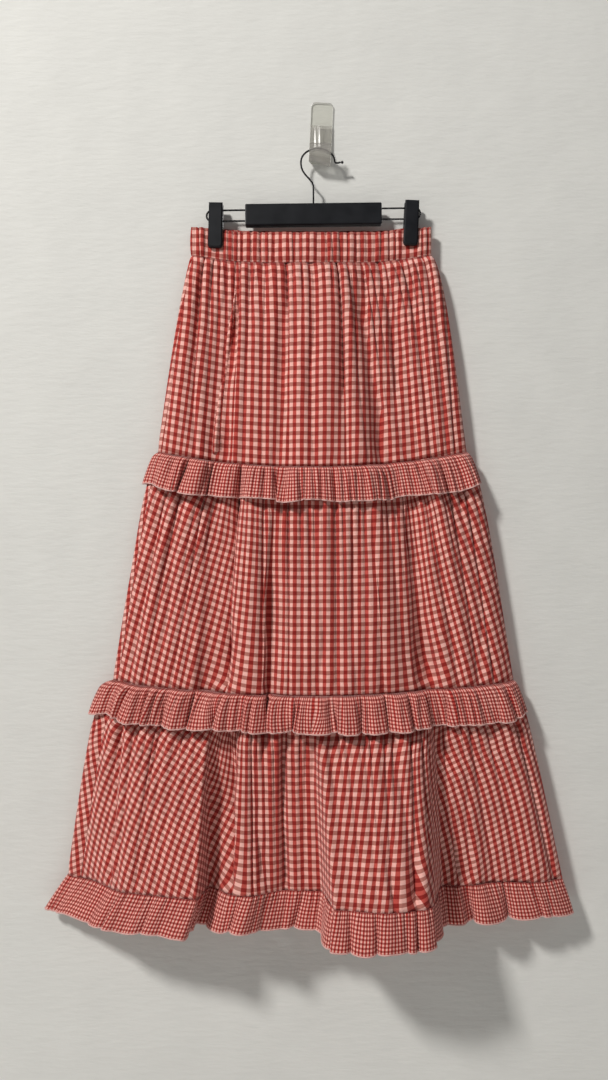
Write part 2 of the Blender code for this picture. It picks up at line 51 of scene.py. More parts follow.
BOW_ACROSS = 0.74       # and the band bows out between them
PINCHED_BACK = 0.0116   # distance of the band's back from the wall at the clips
SEAM_HALF = 0.0004      # half of a side seam's gap, as a part of a turn
RUFFLE_DROP = 0.0445
SHELL = 0.0005          # thickness of one layer of cloth
WALL_CLEAR = 0.0012     # the back stays this far from the wall
SIDE_BUNCHING = 0.6     # how far points gather towards the side folds, from 0 to 1
FOLDS_GROWN = 0.35      # part of a panel's height over which its own folds come up

# The tube at each seam: the height of its side folds and how far the front and back sag below
# them, its two sides, how far the side folds, shoulders, middle and back stand off the wall, and
# how square its section is.
Level = namedtuple("Level", "side_z front_sag back_sag left right side_left side_right "
                            "shoulder middle back squareness")
LEVELS = {
    "waist_top":  Level(-0.1290, 0.011, 0.003, -0.1700, 0.1440, 0.014, 0.014, 0.0166, 0.027, 0.0075, 40.0),
    "waist_seam": Level(-0.1660, 0.014, 0.004, -0.1700, 0.1440, 0.014, 0.014, 0.0166, 0.029, 0.0070, 40.0),
    "seam_1":     Level(-0.4235, 0.021, 0.006, -0.2125, 0.1895, 0.017, 0.017, 0.0290, 0.039, 0.0120, 5.0),
    "seam_2":     Level(-0.7200, 0.013, 0.004, -0.2710, 0.2500, 0.017, 0.019, 0.0370, 0.053, 0.0120, 4.0),
    "hem_seam":   Level(-0.9740, 0.002, 0.002, -0.3290, 0.3110, 0.016, 0.028, 0.0430, 0.062, 0.0090, 3.0),
    "hem":        Level(-1.0175, 0.003, 0.002, -0.3570, 0.3250, 0.017, 0.030, 0.0470, 0.068, 0.0090, 3.0),
}

# A panel's largest folds: from where to where across it each one goes at the top and at the
# bottom, how wide its two slopes are, and how far it stands out at the top and at the bottom.
Fold = namedtuple("Fold", "top_from top_to low_from low_to rise fall out_top out_low")
FOLDS = {
    "band_front": (),
    "band_back": (),
    "tier_1_front": (
        Fold(0.150, 0.170, 0.185, 0.215, 0.040, 0.040, -0.0040, -0.0060),
        Fold(0.385, 0.385, 0.390, 0.390, 0.035, 0.035, -0.0035, -0.0025),
        Fold(0.655, 0.655, 0.735, 0.745, 0.050, 0.030, -0.0050, -0.0060),
        Fold(0.790, 0.790, 0.820, 0.820, 0.035, 0.045, -0.0030, -0.0035),
        Fold(0.450, 0.600, 0.480, 0.660, 0.080, 0.080, 0.0015, 0.0040),
    ),
    "tier_1_back": (
        Fold(0.200, 0.210, 0.160, 0.190, 0.060, 0.050, -0.0030, -0.0080),
        Fold(0.480, 0.500, 0.450, 0.480, 0.060, 0.060, -0.0040, -0.0090),
        Fold(0.740, 0.750, 0.760, 0.790, 0.050, 0.060, -0.0030, -0.0080),
    ),
    "tier_2_front": (
        Fold(0.090, 0.190, 0.080, 0.200, 0.050, 0.030, 0.0020, 0.0100),
        Fold(0.280, 0.372, 0.285, 0.378, 0.050, 0.014, 0.0030, 0.0120),
        Fold(0.440, 0.635, 0.440, 0.648, 0.050, 0.030, 0.0020, 0.0080),
        Fold(0.690, 0.750, 0.690, 0.745, 0.030, 0.030, 0.0010, 0.0070),
        Fold(0.840, 0.950, 0.830, 0.950, 0.040, 0.040, 0.0015, 0.0070),
    ),
    "tier_2_back": (
        Fold(0.170, 0.200, 0.150, 0.190, 0.060, 0.050, -0.0060, -0.0130),
        Fold(0.420, 0.440, 0.400, 0.450, 0.050, 0.060, -0.0050, -0.0150),
        Fold(0.640, 0.660, 0.650, 0.680, 0.060, 0.050, -0.0050, -0.0110),
        Fold(0.850, 0.870, 0.860, 0.880, 0.050, 0.060, -0.0040, -0.0120),
    ),
    "tier_3_front": (
        Fold(0.110, 0.262, 0.130, 0.272, 0.100, 0.022, 0.0050, 0.0430),
        Fold(0.350, 0.380, 0.340, 0.370, 0.050, 0.070, 0.0020, 0.0230),
        Fold(0.525, 0.755, 0.540, 0.715, 0.030, 0.040, 0.0060, 0.0540),
        Fold(0.660, 0.700, 0.645, 0.690, 0.110, 0.060, 0.0020, 0.0150),
        Fold(0.800, 0.830, 0.785, 0.810, 0.030, 0.040, 0.0010, 0.0090),
        Fold(0.930, 0.950, 0.940, 0.960, 0.050, 0.030, 0.0010, 0.0090),
    ),
    "tier_3_back": (
        Fold(0.130, 0.160, 0.120, 0.170, 0.060, 0.050, -0.0080, -0.0240),
        Fold(0.330, 0.360, 0.320, 0.370, 0.050, 0.050, -0.0070, -0.0200),
        Fold(0.530, 0.560, 0.520, 0.580, 0.060, 0.050, -0.0080, -0.0270),
        Fold(0.730, 0.750, 0.720, 0.760, 0.040, 0.050, -0.0060, -0.0180),
        Fold(0.890, 0.900, 0.880, 0.910, 0.040, 0.050, -0.0050, -0.0160),
    ),
}
for side in ("front", "back"):
    FOLDS["hem_ruffle_" + side] = tuple(
        Fold(f.low_from, f.low_to, f.low_from, f.low_to, f.rise, f.fall, f.out_low, f.out_low * 1.06)
        for f in FOLDS["tier_3_" + side])

# The stretches of the tube: their two levels, the one whose folds run on into them, how far they
# puff out at the sides and in front, and the place of their left side seam.
Stretch = namedtuple("Stretch", "top low above puff_left puff_right puff_front seam")
STRETCHES = {
    "band":       Stretch("waist_top", "waist_seam", None, 0.0000, 0.0000, 0.0000, 0.030),
    "tier_1":     Stretch("waist_seam", "seam_1", "band", 0.0030, 0.0080, 0.0020, 0.030),
    "tier_2":     Stretch("seam_1", "seam_2", "tier_1", 0.0065, 0.0090, 0.0040, 0.030),
    "tier_3":     Stretch("seam_2", "hem_seam", "tier_2", 0.0110, 0.0060, 0.0050, 0.058),
    "hem_ruffle": Stretch("hem_seam", "hem", None, 0.0000, 0.0000, 0.0000, 0.030),
}

# Creases placed on each panel: where each runs across the panel at the top and at the
# bottom, from which height to which, how wide its left and right slopes are and how far it
# stands out, in metres. A short slope is a sharp edge and a long one a soft roll.
Crease = namedtuple("Crease", "top low start end left right out")
CREASES = {
    "tier_1_front": (
        Crease(0.070, 0.060, 0.00, 0.70, 0.0040, 0.0060, -0.0030),
        Crease(0.196, 0.214, 0.00, 1.00, 0.0110, 0.0036, -0.0080),
        Crease(0.150, 0.158, 0.00, 0.45, 0.0016, 0.0050, -0.0028),
        Crease(0.290, 0.300, 0.00, 0.30, 0.0016, 0.0060, -0.0032),
        Crease(0.396, 0.392, 0.00, 1.00, 0.0085, 0.0034, -0.0066),
        Crease(0.440, 0.446, 0.10, 0.80, 0.0060, 0.0020, -0.0014),
        Crease(0.498, 0.496, 0.00, 1.00, 0.0050, 0.0040, -0.0042),
        Crease(0.603, 0.606, 0.00, 0.85, 0.0040, 0.0030, -0.0042),
        Crease(0.650, 0.672, 0.00, 1.00, 0.0100, 0.0060, 0.0030),
        Crease(0.690, 0.726, 0.00, 1.00, 0.0066, 0.0024, -0.0062),
        Crease(0.775, 0.800, 0.00, 1.00, 0.0080, 0.0030, -0.0062),
        Crease(0.880, 0.890, 0.00, 0.70, 0.0030, 0.0060, -0.0028),
        Crease(0.945, 0.952, 0.00, 0.36, 0.0050, 0.0020, -0.0018),
    ),
    "tier_2_front": (
        Crease(0.060, 0.040, 0.00, 0.45, 0.0050, 0.0020, -0.0018),
        Crease(0.112, 0.116, 0.00, 1.00, 0.0050, 0.0040, -0.0046),
        Crease(0.160, 0.182, 0.00, 0.34, 0.0050, 0.0018, -0.0020),
        Crease(0.200, 0.206, 0.00, 0.60, 0.0026, 0.0050, -0.0026),
        Crease(0.272, 0.278, 0.00, 1.00, 0.0130, 0.0056, -0.0155),
        Crease(0.390, 0.394, 0.00, 1.00, 0.0080, 0.0130, -0.0104),
        Crease(0.440, 0.442, 0.00, 0.32, 0.0050, 0.0020, -0.0018),
        Crease(0.516, 0.518, 0.00, 1.00, 0.0060, 0.0040, -0.0044),
        Crease(0.600, 0.604, 0.00, 1.00, 0.0060, 0.0040, -0.0050),
        Crease(0.668, 0.676, 0.00, 1.00, 0.0130, 0.0110, 0.0060),
        Crease(0.715, 0.712, 0.00, 0.45, 0.0060, 0.0020, -0.0020),
        Crease(0.792, 0.786, 0.00, 1.00, 0.0150, 0.0050, -0.0135),
        Crease(0.826, 0.820, 0.00, 0.80, 0.0050, 0.0020, -0.0034),
        Crease(0.900, 0.885, 0.00, 0.50, 0.0020, 0.0060, -0.0020),
        Crease(0.932, 0.925, 0.00, 1.00, 0.0070, 0.0030, -0.0046),
    ),
    "tier_3_front": (
        Crease(0.062, 0.095, 0.00, 1.00, 0.0020, 0.0080, -0.0038),
        Crease(0.110, 0.120, 0.00, 0.66, 0.0060, 0.0020, -0.0028),
        Crease(0.172, 0.168, 0.00, 1.00, 0.0050, 0.0040, -0.0044),
        Crease(0.225, 0.240, 0.00, 0.88, 0.0060, 0.0024, -0.0026),
        Crease(0.326, 0.330, 0.00, 1.00, 0.0120, 0.0050, -0.0170),
        Crease(0.388, 0.392, 0.00, 1.00, 0.0084, 0.0040, -0.0086),
        Crease(0.440, 0.443, 0.00, 1.00, 0.0044, 0.0030, -0.0052),
        Crease(0.500, 0.502, 0.00, 0.60, 0.0060, 0.0020, -0.0030),
        Crease(0.540, 0.536, 0.00, 0.62, 0.0030, 0.0060, -0.0036),
        Crease(0.622, 0.640, 0.05, 1.00, 0.0030, 0.0090, -0.0030),
        Crease(0.684, 0.690, 0.00, 1.00, 0.0080, 0.0030, -0.0080),
        Crease(0.730, 0.742, 0.00, 0.70, 0.0020, 0.0060, -0.0026),
        Crease(0.790, 0.786, 0.00, 1.00, 0.0100, 0.0080, -0.0110),
        Crease(0.830, 0.822, 0.00, 1.00, 0.0064, 0.0026, -0.0058),
        Crease(0.893, 0.872, 0.00, 0.45, 0.0020, 0.0060, -0.0020),
        Crease(0.942, 0.922, 0.00, 0.70, 0.0060, 0.0020, -0.0032),
    ),
    "tier_1_back": (
        Crease(0.090, 0.080, 0.00, 0.70, 0.0020, 0.0060, -0.0028),
        Crease(0.205, 0.175, 0.00, 1.00, 0.0060, 0.0018, -0.0040),
        Crease(0.330, 0.335, 0.00, 0.40, 0.0020, 0.0060, -0.0028),
        Crease(0.490, 0.465, 0.00, 1.00, 0.0018, 0.0070, -0.0038),
        Crease(0.610, 0.630, 0.00, 0.50, 0.0060, 0.0020, -0.0024),
        Crease(0.745, 0.775, 0.00, 1.00, 0.0020, 0.0060, -0.0036),
        Crease(0.880, 0.905, 0.00, 0.48, 0.0050, 0.0020, -0.0026),
    ),
    "tier_2_back": (
        Crease(0.080, 0.060, 0.00, 0.60, 0.0020, 0.0060, -0.0026),
        Crease(0.185, 0.170, 0.00, 1.00, 0.0070, 0.0020, -0.0046),
        Crease(0.310, 0.300, 0.00, 0.75, 0.0020, 0.0070, -0.0026),
        Crease(0.430, 0.425, 0.00, 1.00, 0.0020, 0.0070, -0.0046),
        Crease(0.540, 0.550, 0.10, 0.90, 0.0060, 0.0020, -0.0026),
        Crease(0.650, 0.665, 0.00, 1.00, 0.0020, 0.0070, -0.0040),
        Crease(0.760, 0.775, 0.00, 0.55, 0.0060, 0.0020, -0.0024),
        Crease(0.860, 0.870, 0.00, 1.00, 0.0020, 0.0060, -0.0036),
    ),
    "tier_3_back": (
        Crease(0.070, 0.050, 0.00, 0.70, 0.0020, 0.0060, -0.0030),
        Crease(0.145, 0.145, 0.00, 1.00, 0.0070, 0.0020, -0.0044),
        Crease(0.240, 0.235, 0.00, 0.60, 0.0020, 0.0060, -0.0026),
        Crease(0.345, 0.345, 0.00, 1.00, 0.0020, 0.0070, -0.0042),
        Crease(0.450, 0.440, 0.00, 0.85, 0.0060, 0.0020, -0.0030),
        Crease(0.545, 0.550, 0.00, 1.00, 0.0020, 0.0070, -0.0046),
        Crease(0.640, 0.650, 0.00, 0.50, 0.0060, 0.0020, -0.0024),
        Crease(0.740, 0.740, 0.00, 1.00, 0.0020, 0.0070, -0.0040),
        Crease(0.825, 0.835, 0.00, 0.60, 0.0060, 0.0020, -0.0030),
        Crease(0.895, 0.895, 0.00, 1.00, 0.0020, 0.0060, -0.0038),
    ),
}


def smoothstep(value):
    """0 below 0, 1 above 1, and a soft slope between."""
    v = np.clip(value, 0.0, 1.0)
    return v * v * (3.0 - 2.0 * v)


def level_at(stretch, down):
    """Each size of the section at a height, on the straight line between the two levels."""
    s = STRETCHES[stretch]
    return Level(*(a + (b - a) * down for a, b in zip(LEVELS[s.top], LEVELS[s.low])))


def stretch_height(name):
    """Height of a stretch at its side folds."""
    return LEVELS[STRETCHES[name].top].side_z - LEVELS[STRETCHES[name].low].side_z


def own_folds(panel, across, down):
    """How far a panel's folds stand out: each is a plateau with two soft sides, and its place,
    width and depth run on straight lines from the top to the bottom."""
    total = np.zeros(np.broadcast(across, down).shape)
    for f in FOLDS[panel]:
        start = f.top_from + (f.low_from - f.top_from) * down
        end = f.top_to + (f.low_to - f.top_to) * down
        out = f.out_top + (f.out_low - f.out_top) * down
        rising = smoothstep((across - start + f.rise) / f.rise)
        falling = smoothstep((end + f.fall - across) / f.fall)
        total += out * rising * falling
    return total


def folds(stretch, side, across, down):
    """A panel's own folds, which grow out of those of the panel above over the first third."""
    own = own_folds(stretch + "_" + side, across, down)
    above = STRETCHES[stretch].above
    if above is None:
        return own
    blend = smoothstep(down / FOLDS_GROWN)
    return blend * own + (1.0 - blend) * own_folds(above + "_" + side, across, np.ones_like(down))


def near_clips(middle_ness, reach, slope):
    """1 near each clip and 0 beyond reach slopes from it, with the last slope soft. middle_ness
    runs from -1 at the left side over 0 in the middle to 1 at the right side."""
    return smoothstep(reach - np.abs(np.abs(middle_ness) - CLIP_ACROSS) / slope)


def tube(stretch, down, turn):
    """Points of the tube. Across the width the distance from the wall runs from the side folds
    over a rounded shoulder to a bow in the middle, with the folds on it; the back has no bow.
    Both edges stand out by a puff of sine form under a gathered seam."""
    s = STRETCHES[stretch]
    level = level_at(stretch, down)
    wrapped = np.mod(turn, 2.0)
    on_front = wrapped <= 1.0
    along = np.where(on_front, wrapped, 2.0 - wrapped)
    across = along + SIDE_BUNCHING * (0.5 * (1.0 - np.cos(math.pi * along)) - along)
    middle_ness = 2.0 * across - 1.0
    puff = np.sin(math.pi * np.sqrt(down))
    left = level.left - s.puff_left * puff
    right = level.right + s.puff_right * puff
    x = left + (right - left) * across
    rim = np.sqrt(np.maximum(0.0, 1.0 - np.abs(middle_ness) ** level.squareness))
    side = level.side_left + (level.side_right - level.side_left) * across
    bow = np.cos(0.5 * math.pi * np.clip(middle_ness / BOW_ACROSS, -1.0, 1.0)) ** 2
    shoulder = level.shoulder + s.puff_front * puff
    front = side + (shoulder - side) * rim + (level.middle - level.shoulder) * bow
    front = front + rim * folds(stretch, "front", across, down)
    holds = {"band": np.ones_like(down), "tier_1": 1.0 - smoothstep(down / CLIP_HELD)}
    pinch = near_clips(middle_ness, 1.6, 0.10) * holds.get(stretch, 0.0 * down)
    back = level.back + (PINCHED_BACK - level.back) * pinch
    back = side + (back - side) * rim - rim * folds(stretch, "back", across, down)
    sag = np.where(on_front, level.front_sag, level.back_sag) * (1.0 - middle_ness ** 2)
    points = np.stack(np.broadcast_arrays(x, -np.where(on_front, front, back), level.side_z - sag), axis=-1)
    return points, np.broadcast_to(across, points.shape[:2])


def surface_normals(points):
    """Unit vectors out of the cloth, from its steps down and along."""
    normal = np.cross(np.gradient(points, axis=0), np.gradient(points, axis=1))
    return normal / np.linalg.norm(normal, axis=2, keepdims=True)


def row_lengths(points):
    """Length along each row from its first point."""
    steps = np.linalg.norm(np.diff(points, axis=1), axis=2)
    return np.concatenate([np.zeros((len(points), 1)), np.cumsum(steps, axis=1)], axis=1)


# Gathers along a seam: between which widths each is drawn, the strength of the weakest, their
# depth and sideways spread as shares of their width, and over which lengths they die away.
Gathers = namedtuple("Gathers", "pitch weakest depth spread reach", defaults=(None,))
Waves = namedtuple("Waves", "phase strength pitch")
BEFORE_SEAM = 0.05      # gathers are drawn from this far ahead of place 0
LONGEST_SEAM = 2.0      # no seam's places run further than this


def waves_along(place, seed, gathers):
    """Uneven gathers along a seam. phase is a whole number in each valley between two of them,
    strength (weakest to 1) is each one's own, and pitch is its width."""
    draw = np.random.RandomState(seed)
    spacing = draw.uniform(*gathers.pitch, int(2.0 * LONGEST_SEAM / sum(gathers.pitch)) + 8)
    valleys = np.cumsum(spacing) - BEFORE_SEAM
    own = draw.uniform(gathers.weakest, 1.0, len(valleys))
    return Waves(np.interp(place, valleys, np.arange(len(valleys))), np.interp(place, valleys, own),
                 np.interp(place, valleys, spacing))


def arches(waves, depth):
    """Round crests with sharp valleys between them, each as high as depth times its width."""
    return depth * waves.pitch * waves.strength * (np.abs(np.sin(math.pi * waves.phase)) ** 0.75 - 0.5)


def slides(waves, share):
    """Sideways shift that spreads each crest over its valleys, so that the valleys close up."""
    return -share * waves.pitch * waves.strength * np.sin(2.0 * math.pi * waves.phase)


REACH_STEP = 0.011      # from one drawn reach of the gathers to the next


def dying(distance, seed, place, gathers):
    """1 at a seam, dying away over a length that differs from place to place, in exponential
    form with a round shoulder."""
    draw = np.random.RandomState(seed)
    stops = np.arange(0.0, LONGEST_SEAM, REACH_STEP)
    reach = np.interp(place, stops, draw.uniform(*gathers.reach, len(stops)))
    return np.exp(-(distance / reach) ** 1.4)


def uneven(place, seed, step, amount):
    """A value that wanders between -amount and amount along a seam, from one step to the next."""
    stops = np.arange(0.0, LONGEST_SEAM, step)
    return np.interp(place, stops, np.random.RandomState(seed).uniform(-amount, amount, len(stops)))


# A sine down a panel: its size, its angle from top to bottom, and how much its start differs
# from one crease to the next across the panel, both in radians.
Sway = namedtuple("Sway", "size angle apart")
CREASE_SWAYS = (Sway(0.0030, 8.2, 107.0), Sway(0.0011, 21.0, 258.0))
CREASE_DEPTH = 0.85                     # mean depth, as a share of the one in the table
DEPTH_SWAY = Sway(0.30, 9.5, 182.0)
CREASE_WIDTH = 1.3                      # slopes are wider than in the table by this factor
CREASE_POINT = 1.35                     # 1 gives a crease a sharp bottom and 2 a round one
CREASE_STARTS, CREASE_ENDS = 0.06, 0.30  # parts of the height over which it comes and goes


def swayed(sway, crease, down):
    """A sway's value down one crease."""
    return sway.size * np.sin(sway.angle * down + sway.apart * crease.top)


def crease_relief(panel, width, across, down):
    """How far a panel's creases stand out: each is a trough or ridge of exponential form across,
    wanders a little to both sides, and is deeper at some heights than at others. width is the
    panel's width in metres."""
    total = np.zeros(np.broadcast(across, down).shape)
    for c in CREASES[panel]:
        where = (across - c.top - (c.low - c.top) * down) * width
        for sway in CREASE_SWAYS:
            where = where + swayed(sway, c, down)
        slope = CREASE_WIDTH * np.where(where < 0.0, c.left, c.right)
        starts = smoothstep((down - c.start) / CREASE_STARTS + (c.start == 0.0))
        ends = smoothstep((c.end - down) / CREASE_ENDS + (c.end == 1.0))
        depth = c.out * (CREASE_DEPTH + swayed(DEPTH_SWAY, c, down))
        total += depth * starts * ends * np.exp(-np.abs(where / slope) ** CREASE_POINT)
    return total


UPPER_GATHERS = Gathers((0.0060, 0.0125), 0.25, 0.56, 0.11, (0.020, 0.150))
LOWER_GATHERS = Gathers((0.0055, 0.0110), 0.25, 0.22, 0.00, (0.006, 0.024))
LONG_FOLDS = Gathers((0.0110, 0.0360), 0.10, 0.40, 0.08, (0.120, 0.450))
LEAST_FOLD = 0.35       # a long fold keeps this share where it has died away
DRIFT = 0.06            # and swells and sinks again by this share of its width
TIER_WANDER = 0.022     # the gathers wander by this much on the way down


def tier_relief(number, side, across, place, down):
    """Relief of a tier on the plain tube, and its sideways shift: the creases, gathers that die
    away under the upper seam, shorter ones over the lower seam, and long folds between. At the
    two seams, where the cloth is sewn down, all of it is shallower."""
    name = "tier_%d" % number
    low = LEVELS[STRETCHES[name].low]
    height = stretch_height(name)
    fallen = down * height
    seed = 10 * number + (100 if side == "back" else 0)
    covered = RUFFLE_DROP if number > 1 else 0.0
    place = place + uneven(place, seed + 6, 0.045, TIER_WANDER) * down
    upper = waves_along(place, seed, UPPER_GATHERS)
    lower = waves_along(place, seed + 1, LOWER_GATHERS)
    long = waves_along(place, seed + 2, LONG_FOLDS)
    under = dying(np.maximum(fallen - covered, 0.0), seed + 3, place, UPPER_GATHERS)
    over = dying(height - fallen, seed + 4, place, LOWER_GATHERS)
    along = dying(fallen, seed + 5, place, LONG_FOLDS)
    drift = 0.5 + 0.5 * np.sin(2.0 * math.pi * (down * 0.8 + place * 7.0))
    out = arches(upper, UPPER_GATHERS.depth) * under + arches(lower, LOWER_GATHERS.depth) * over
    out = out + arches(long, LONG_FOLDS.depth) * (LEAST_FOLD + (1.0 - LEAST_FOLD) * along)
    out = out + arches(long, DRIFT) * drift
    out = out + crease_relief(name + "_" + side, low.right - low.left, across, down)
    shift = slides(upper, UPPER_GATHERS.spread) * under + slides(long, LONG_FOLDS.spread) * along
    sewn_top = 0.25 + 0.75 * smoothstep(fallen / 0.010)
    sewn_low = 0.35 + 0.65 * smoothstep((height - fallen) / 0.016)
    return out * sewn_top * sewn_low, shift * sewn_low


def moved(points, normals, out, shift):
    """Points moved out along their normals and sideways along their rows."""
    along = np.gradient(points, axis=1)
    along /= np.linalg.norm(along, axis=2, keepdims=True)
    result = points + out[:, :, None] * normals + shift[:, :, None] * along
    result[:, :, 1] = np.minimum(result[:, :, 1], -WALL_CLEAR)
    return result


def ends_held(lengths, run):
    """0 at the side seams of a panel and 1 away from them."""
    return smoothstep(lengths / run) * smoothstep((lengths[:, -1:] - lengths) / run)


def panel_turns(stretch, side, columns):
    """Places round the tube that a front or back panel covers, side seam to side seam."""
    left_seam = STRETCHES[stretch].seam
    first, last = (left_seam, 1.0) if side == "front" else (1.0, 2.0 + left_seam)
    return np.linspace(first + SEAM_HALF, last - SEAM_HALF, columns + 1)[None, :]


# ---------------------------------------------------------------- meshes
def add_object(name, data):
    obj = bpy.data.objects.new(name, data)
    bpy.context.scene.collection.objects.link(obj)
    return obj


def cloth_mesh(name, points, flat, material, closed=False):
    """Mesh of a grid of points, rows down and columns along, with the map "flat" that holds each
    point's place on the cut cloth in metres. closed joins the last row to the first."""
    rows, columns = points.shape[:2]
    index = np.arange(rows * columns).reshape(rows, columns)
    if closed:
        index = np.concatenate([index, index[:1]])
    quads = np.stack([index[:-1, :-1], index[1:, :-1], index[1:, 1:], index[:-1, 1:]], axis=-1)
    mesh = bpy.data.meshes.new(name)
    mesh.from_pydata(points.reshape(-1, 3).tolist(), [], quads.reshape(-1, 4).tolist())
    layer = mesh.uv_layers.new(name="flat")
    corner = np.empty(len(mesh.loops), dtype=np.int32)
    mesh.loops.foreach_get("vertex_index", corner)
    layer.data.foreach_set("uv", flat.reshape(-1, 2)[corner].astype(np.float32).ravel())
    mesh.shade_smooth()
    mesh.materials.append(material)
    obj = add_object(name, mesh)
    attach(obj, "root")
    return obj


def add_thickness(obj, thickness=SHELL):
    wall = obj.modifiers.new("cloth thickness", "SOLIDIFY")
    wall.thickness = thickness
    wall.offset = -1.0


# ---------------------------------------------------------------- materials
class Nodes:
    """Short way to build one material's nodes."""

    def __init__(self, name):
        self.material = bpy.data.materials.new(name)
        self.material.use_nodes = True
        self.tree = self.material.node_tree
        self.shader = self.tree.nodes["Principled BSDF"]

    def link(self, source, target):
        self.tree.links.new(source, target)

    def node(self, kind, **settings):
        made = self.tree.nodes.new(kind)
        for key, value in settings.items():
            setattr(made, key, value)
        return made

    def put(self, socket, value):
        if hasattr(value, "is_output"):
            self.link(value, socket)
        else:
            socket.default_value = value

    def math(self, operation, *values):
        made = self.node("ShaderNodeMath", operation=operation)
        for socket, value in zip(made.inputs, values):
            self.put(socket, value)
        return made.outputs[0]

    def noise(self, vector, scale, detail=2.0, dimensions="3D"):
        made = self.node("ShaderNodeTexNoise", noise_dimensions=dimensions)
        self.put(made.inputs["Vector"], vector)
        made.inputs["Scale"].default_value = scale
        made.inputs["Detail"].default_value = detail
        return made.outputs[0]

    def ramp(self, factor, stops, mode="LINEAR"):
        made = self.node("ShaderNodeValToRGB")
        made.color_ramp.interpolation = mode
        while len(made.color_ramp.elements) < len(stops):
            made.color_ramp.elements.new(0.5)
        for element, (position, colour) in zip(made.color_ramp.elements, stops):
            element.position = position
            element.color = (*colour, 1.0)
        self.link(factor, made.inputs[0])
        return made.outputs[0]

    def mix(self, factor, first, second, blend="MIX"):
        made = self.node("ShaderNodeMix", data_type="RGBA", blend_type=blend)
        self.put(made.inputs[0], factor)
        self.put(made.inputs[6], first)
        self.put(made.inputs[7], second)
        return made.outputs[2]

    def soft_step(self, value, low, high, first=0.0, last=1.0):
        """first below low, last above high, and a soft slope between."""
        made = self.node("ShaderNodeMapRange", interpolation_type="SMOOTHSTEP")
        self.link(value, made.inputs["Value"])
        made.inputs["From Min"].default_value = low
        made.inputs["From Max"].default_value = high
        made.inputs["To Min"].default_value = first
        made.inputs["To Max"].default_value = last
        return made.outputs[0]

    def let_through(self, share, tint=(1.0, 1.0, 1.0)):
        """Let this share of the light straight through the surface."""
        clear = self.node("ShaderNodeBsdfTransparent")
        clear.inputs["Color"].default_value = (*tint, 1.0)
        choose = self.node("ShaderNodeMixShader")
        self.link(share, choose.inputs[0])
        self.link(self.shader.outputs[0], choose.inputs[1])
        self.link(clear.outputs[0], choose.inputs[2])
        self.link(choose.outputs[0], self.tree.nodes["Material Output"].inputs["Surface"])

    def bump(self, height, distance, strength=1.0, normal=None):
        made = self.node("ShaderNodeBump")
        made.inputs["Strength"].default_value = strength
        made.inputs["Distance"].default_value = distance
        self.link(height, made.inputs["Height"])
        if normal is not None:
            self.link(normal, made.inputs["Normal"])
        return made.outputs[0]


# Colour of each square by its warp (upright) and weft (level) yarns.
Squares = namedtuple("Squares", "pale_on_pale red_weft red_warp red_on_red")
LARGE_SQUARES = Squares(pale_on_pale=(0.84, 0.455, 0.400), red_weft=(0.425, 0.155, 0.125),
                        red_warp=(0.49, 0.074, 0.058), red_on_red=(0.250, 0.014, 0.011))
SMALL_SQUARES = Squares(pale_on_pale=(0.82, 0.430, 0.375), red_weft=(0.395, 0.120, 0.096),
                        red_warp=(0.46, 0.052, 0.040), red_on_red=(0.215, 0.008, 0.007))
YARN = 0.00042          # pitch of the yarns
YARN_WANDER = 0.0011    # the stripes wander from a straight line within this width
STRIPE_EDGE = 0.00016   # half the width of the mixed edge of a stripe
THREAD_LOOP = 0.0011    # pitch of the loops of an edge's thread


def gingham(name, check, squares):
    """Woven check: two stripes of the same width across each other, with both yarns mixed where
    only one stripe is red. check is the width of one square. The weave is the product of a sine
    along each yarn."""
    n = Nodes(name)
    place = n.node("ShaderNodeUVMap", uv_map="flat").outputs[0]
    warp = n.noise(place, 45.0, 2.0, "2D")
    split = n.node("ShaderNodeSeparateXYZ")
    n.link(place, split.inputs[0])
    stripes, yarns = [], []
    for axis, shift in ((0, 0.0), (1, 0.31)):
        wander = n.math("MULTIPLY", n.math("SUBTRACT", warp, 0.5), YARN_WANDER)
        along = n.math("ADD", split.outputs[axis], wander)
        pairs = n.math("ADD", n.math("DIVIDE", along, check * 2.0), 10.0 + shift)
        fold = n.math("PINGPONG", pairs, 0.5)
        soft = STRIPE_EDGE / (check * 2.0)
        stripes.append(n.soft_step(fold, 0.25 - soft, 0.25 + soft))
        yarns.append(n.math("SINE", n.math("MULTIPLY", along, 2 * math.pi / YARN)))
    weave = n.math("MULTIPLY", *yarns)
    pale_column = n.mix(stripes[1], (*squares.pale_on_pale, 1.0), (*squares.red_weft, 1.0))
    red_column = n.mix(stripes[1], (*squares.red_warp, 1.0), (*squares.red_on_red, 1.0))
    colour = n.mix(stripes[0], pale_column, red_column)
    cloudy = n.noise(place, 22.0, 3.0, "2D")
    slub = n.noise(place, 900.0, 2.0, "2D")
    shade = n.math("ADD", n.math("MULTIPLY", n.math("SUBTRACT", cloudy, 0.5), 0.22),
                   n.math("MULTIPLY", n.math("SUBTRACT", slub, 0.5), 0.24))
    tone = n.node("ShaderNodeHueSaturation")
    n.link(n.math("ADD", shade, 1.0), tone.inputs["Value"])
    n.link(colour, tone.inputs["Color"])
    n.link(tone.outputs[0], n.shader.inputs["Base Color"])
    crinkle = n.noise(place, 160.0, 3.0, "2D")
    first = n.bump(crinkle, 0.0009, 0.55)
    n.link(n.bump(weave, 0.00005, 0.8, first), n.shader.inputs["Normal"])
    n.shader.inputs["Roughness"].default_value = 0.88
    n.shader.inputs["Specular IOR Level"].default_value = 0.22
    n.shader.inputs["Sheen Weight"].default_value = 0.22
    n.shader.inputs["Sheen Roughness"].default_value = 0.45
    n.shader.inputs["Sheen Tint"].default_value = (1.0, 0.80, 0.76, 1.0)
    return n.material


